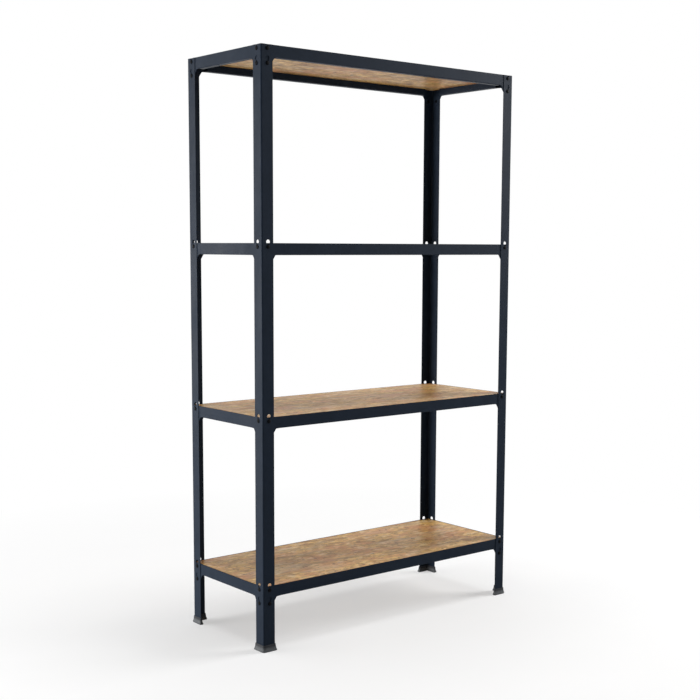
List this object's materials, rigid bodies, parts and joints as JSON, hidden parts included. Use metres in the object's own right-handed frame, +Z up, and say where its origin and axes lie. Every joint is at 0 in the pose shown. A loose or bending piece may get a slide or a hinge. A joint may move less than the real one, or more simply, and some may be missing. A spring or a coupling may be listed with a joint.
{
  "type": "boltless shelving unit",
  "caption": "Tall narrow boltless shelving unit: steel angle corner posts with keyholes, folded beams with gusset ends, loose particleboard shelves and moulded feet.",
  "frame": {"origin": "on the floor, below the middle of the unit", "axes": "+X to the right along the width seen from the front, +Y to the rear across the depth, +Z up"},
  "size_m": [0.7684, 0.3004, 1.32],
  "materials": {
    "post_steel": "satin dark grey-blue powder coat",
    "beam_steel": "satin dark grey-blue powder coat",
    "rivet_steel": "black coated steel",
    "particleboard": "raw sanded particleboard",
    "foot_plastic": "fine-grained grey moulding"
  },
  "bodies": {
    "root": {"post_front_left": "post_steel", "post_front_right": "post_steel", "post_rear_right": "post_steel", "post_rear_left": "post_steel", "foot_front_left": "foot_plastic", "foot_front_right": "foot_plastic", "foot_rear_right": "foot_plastic", "foot_rear_left": "foot_plastic", "beam_front_bottom": "beam_steel", "beam_rear_bottom": "beam_steel", "beam_right_bottom": "beam_steel", "beam_left_bottom": "beam_steel", "board_bottom": "particleboard", "beam_front_lower": "beam_steel", "beam_rear_lower": "beam_steel", "beam_right_lower": "beam_steel", "beam_left_lower": "beam_steel", "board_lower": "particleboard", "beam_front_upper": "beam_steel", "beam_rear_upper": "beam_steel", "beam_right_upper": "beam_steel", "beam_left_upper": "beam_steel", "board_upper": "particleboard", "beam_front_top": "beam_steel", "beam_rear_top": "beam_steel", "beam_right_top": "beam_steel", "beam_left_top": "beam_steel", "board_top": "particleboard", "rivets_bottom": "rivet_steel", "rivets_lower": "rivet_steel", "rivets_upper": "rivet_steel", "rivets_top": "rivet_steel"}
  },
  "joints": []
}
